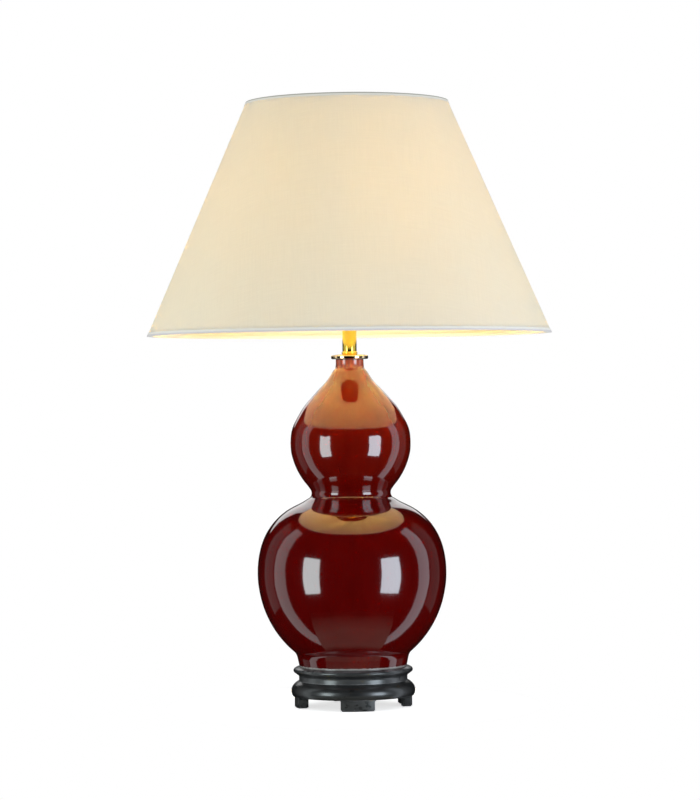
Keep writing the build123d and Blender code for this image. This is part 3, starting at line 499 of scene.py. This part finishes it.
def lit_glass():
    """The pearl glass of the bulb, lit from inside, brighter round the filament."""
    p = Paint("pearl_glass", Roughness=0.3, Base_Color=(0.9, 0.86, 0.78, 1))
    low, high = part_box("bulb_glass")
    middle = high.z - (high.x - low.x) / 2
    off = p.math("ABSOLUTE", p.math("SUBTRACT", p.height(), middle))
    p.set(Emission_Color=p.mix(p.noise(45.0), BULB_COLOUR, BULB_EDGE_COLOUR))
    p.set(Emission_Strength=p.range(off, 0.0, BULB_FADE, BULB_STRENGTH * 1.08, BULB_STRENGTH * 0.72))
    p.set(Normal=p.bump(p.noise(600.0), 0.00005, 0.2))
    return p.material


def clear_glass():
    """The glass stem inside the bulb."""
    p = Paint("clear_glass", Roughness=0.03, Transmission_Weight=1.0, IOR=1.5)
    p.set(Base_Color=p.mix(p.noise(200.0), (0.93, 0.96, 0.95), (0.98, 0.99, 0.98)))
    p.set(Normal=p.bump(p.noise(250.0), 0.0001, 0.3))
    return p.material


def filament():
    """The glowing coil."""
    p = Paint("filament", Roughness=0.4)
    coil = p.noise(3000.0)
    p.set(Emission_Color=p.mix(coil, (1.0, 0.70, 0.35), (1.0, 0.80, 0.50)))
    p.shader.inputs["Emission Strength"].default_value = FILAMENT_STRENGTH
    p.set(Base_Color=p.mix(coil, (0.3, 0.28, 0.25), (0.5, 0.47, 0.42)))
    return p.material


FEET = [name for name in nodes if name.startswith("foot_") and "pad" not in name]
FOOT_PADS = [name for name in nodes if name.startswith("foot_pad")]
CARRIER = [name for name in nodes if name.startswith("carrier_")]
STRUTS = [name for name in nodes if name.startswith("spider_strut_")]


def dress_all():
    gold = brass("brass", (0.86, 0.58, 0.10), (0.95, 0.70, 0.14))
    tube_brass = brass("tube_brass", (0.90, 0.64, 0.10), (0.97, 0.74, 0.13), TUBE_FLARE)
    dress(tube_brass, "stem_tube", "stem_collar")
    dress(glaze(), "vase")
    dress(lacquer(), "stand_apron", "stand_top", *FEET)
    dress(felt(), "vase_seat_felt", *FOOT_PADS)
    dress(steel(), "stand_screws", "threaded_rod", "rod_washer", "rod_lock_washer", "rod_nut",
          "holder_grub_screw", "terminal_screws", "bulb_leads")
    dress(brass("pale_brass", (0.86, 0.66, 0.40), (0.94, 0.74, 0.48)), "vase_cap")
    dress(gold, "holder_cap", "holder_body", "holder_skirt", "screw_shell", "terminal_blocks",
          "centre_contact", "switch_bar", "shade_ring_lower", "shade_ring_upper", *CARRIER)
    dress(shade_cloth(), "shade_fabric")
    dress(shade_lining(), "shade_liner")
    dress(trim_tape(), "shade_trim_bottom", "shade_trim_top")
    dress(coated_wire(), "shade_wire_bottom", "shade_wire_top", "spider_ring", *STRUTS)
    dress(porcelain(), "holder_insert")
    dress(bakelite(), "switch_tips")
    dress(moulded("rubber", (0.018, 0.018, 0.018), (0.04, 0.04, 0.04), 0.6, 0.8), "neck_gasket")
    dress(moulded("black_plastic", (0.015, 0.015, 0.016), (0.03, 0.03, 0.031), 0.4, 0.55), "rod_bush")
    dress(moulded("black_glass", (0.006, 0.006, 0.007), (0.014, 0.013, 0.015), 0.08, 0.2), "bulb_insulator")
    dress(drawn_metal("bulb_metal", (0.62, 0.61, 0.59), (0.78, 0.77, 0.74), 0.2, 0.38), "bulb_cap")
    dress(drawn_metal("solder", (0.42, 0.42, 0.42), (0.6, 0.6, 0.58), 0.35, 0.55), "bulb_contact")
    dress(lit_glass(), "bulb_glass")
    dress(clear_glass(), "bulb_stem")
    dress(filament(), "bulb_filament")


# ---- Studio ----
def ring_mesh(name, rings, segments=96, start=0.0, end=360.0):
    """A surface of rings (radius, height) about the axis, from one azimuth to another."""
    mesh = bmesh.new()
    whole = end - start >= 360
    count = segments if whole else segments + 1
    rows = []
    for radius, height in rings:
        row = []
        for step in range(count):
            row.append(mesh.verts.new(compass(start + (end - start) * step / segments, radius, height)))
        rows.append(row)
    for below, above in zip(rows, rows[1:]):
        for step in range(segments):
            after = (step + 1) % count
            mesh.faces.new((below[step], below[after], above[after], above[step]))
    data = bpy.data.meshes.new(name)
    mesh.to_mesh(data)
    mesh.free()
    thing = bpy.data.objects.new(name, data)
    scene.collection.objects.link(thing)
    return thing


def pale_to_the_eye(p, strength):
    """Adds light for the camera, mirrors and glass only, so that the surface reads as white."""
    path = p.add("ShaderNodeLightPath")
    seen = p.math("MAXIMUM", p.math("MAXIMUM", path.outputs["Is Camera Ray"], path.outputs["Is Glossy Ray"]),
                  path.outputs["Is Transmission Ray"])
    p.set(Emission_Strength=p.math("MULTIPLY", seen, strength))
    p.shader.inputs["Emission Color"].default_value = (1, 1, 1, 1)


def make_floor():
    """The round plinth top under the lamp."""
    p = Paint("floor", Roughness=0.7, Specular_IOR_Level=0.1)
    p.set(Base_Color=p.mix(p.noise(20.0), (0.80, 0.80, 0.80), (0.83, 0.83, 0.83)))
    pale_to_the_eye(p, FLOOR_GLOW)
    floor = ring_mesh("floor", [(0.0001, 0.0), (FLOOR_RADIUS, 0.0)])
    floor.data.materials.append(p.material)
    floor.visible_glossy = False


def make_flags():
    """Dark panels that only mirrors see, as a photographer sets them, and a dim table before the lamp with a
    painted shadow round the stand.
    """
    dark = Paint("flag", Roughness=1.0, Specular_IOR_Level=0.0)
    dark.set(Base_Color=dark.mix(dark.noise(2.0), (0.004, 0.004, 0.004), (0.006, 0.006, 0.006)))
    dim = Paint("dim_table", Roughness=0.9, Specular_IOR_Level=0.1)
    reach = dim.from_axis()
    ragged = dim.math("ADD", reach, dim.math("MULTIPLY", dim.noise(9.0), 0.03))
    # Painted shadow: the table is painted black close round the stand.
    shadowed_table = dim.mix(dim.range(reach, *TABLE_SHADOW_RADII), (0.004, 0.004, 0.004), (0.30, 0.30, 0.25))
    dim.set(Base_Color=dim.mix(dim.range(ragged, *TABLE_FADE), shadowed_table, (0.01, 0.01, 0.01)))
    wall = [(FLAG_RADIUS, FLAG_LOW), (FLAG_RADIUS, FLAG_HIGH)]
    low_wall = [(FLAG_RADIUS, FLAG_LOW), (FLAG_RADIUS, FLAG_BACK_TOP)]
    table = [(TABLE_INNER, TABLE_LEVEL), (TABLE_RADIUS, TABLE_LEVEL)]
    back, left, right = 180 - FLAG_GAP, CAMERA_AZIMUTH - TABLE_SWEEP, CAMERA_AZIMUTH + TABLE_SWEEP
    flags = [
        (ring_mesh("flag_wall", wall, 60, -back, back), dark),
        (ring_mesh("flag_back", low_wall, 20, back, 360 - back), dark),
        (ring_mesh("flag_low", [(0.001, FLAG_LOW), (FLAG_RADIUS, FLAG_LOW)], 60), dark),
        (ring_mesh("flag_high", [(0.001, FLAG_HIGH), (FLAG_RADIUS, FLAG_HIGH)], 60), dark),
        (ring_mesh("table", table, 30, left, right), dim),
    ]
    for flag, paint in flags:
        flag.data.materials.append(paint.material)
        flag.visible_camera = flag.visible_diffuse = flag.visible_transmission = flag.visible_shadow = False


def panel(name, azimuth, distance, bottom, top, width, radiance, colour):
    """An upright light panel that faces the lamp's axis. Its radiance is the same whatever its size."""
    data = bpy.data.lights.new(name, "AREA")
    data.shape, data.size, data.size_y = "RECTANGLE", width, top - bottom
    data.color = colour
    data.energy = radiance * math.pi * width * (top - bottom)
    light = bpy.data.objects.new(name, data)
    scene.collection.objects.link(light)
    light.location = compass(azimuth, distance, (bottom + top) / 2)
    light.rotation_euler = (math.radians(90), 0, math.radians(azimuth))


def make_lights():
    for name, azimuth, *sizes in PANELS:
        panel(name, CAMERA_AZIMUTH + azimuth, *sizes)


def make_world():
    world = bpy.data.worlds.new("studio")
    scene.world = world
    world.use_nodes = True
    tree = world.node_tree
    background = tree.nodes["Background"]
    path = tree.nodes.new("ShaderNodeLightPath")

    def most(first, second):
        node = tree.nodes.new("ShaderNodeMath")
        node.operation = "MAXIMUM"
        tree.links.new(first, node.inputs[0])
        tree.links.new(second, node.inputs[1])
        return node.outputs[0]

    seen = most(most(path.outputs["Is Camera Ray"], path.outputs["Is Glossy Ray"]),
                path.outputs["Is Transmission Ray"])
    level = tree.nodes.new("ShaderNodeMapRange")
    tree.links.new(seen, level.inputs["Value"])
    level.inputs["To Min"].default_value = AMBIENT
    level.inputs["To Max"].default_value = 1.0
    background.inputs["Color"].default_value = (1, 1, 1, 1)
    tree.links.new(level.outputs["Result"], background.inputs["Strength"])


dress_all()
make_camera()
make_floor()
make_flags()
make_lights()
make_world()

scene.view_settings.view_transform = "Standard"
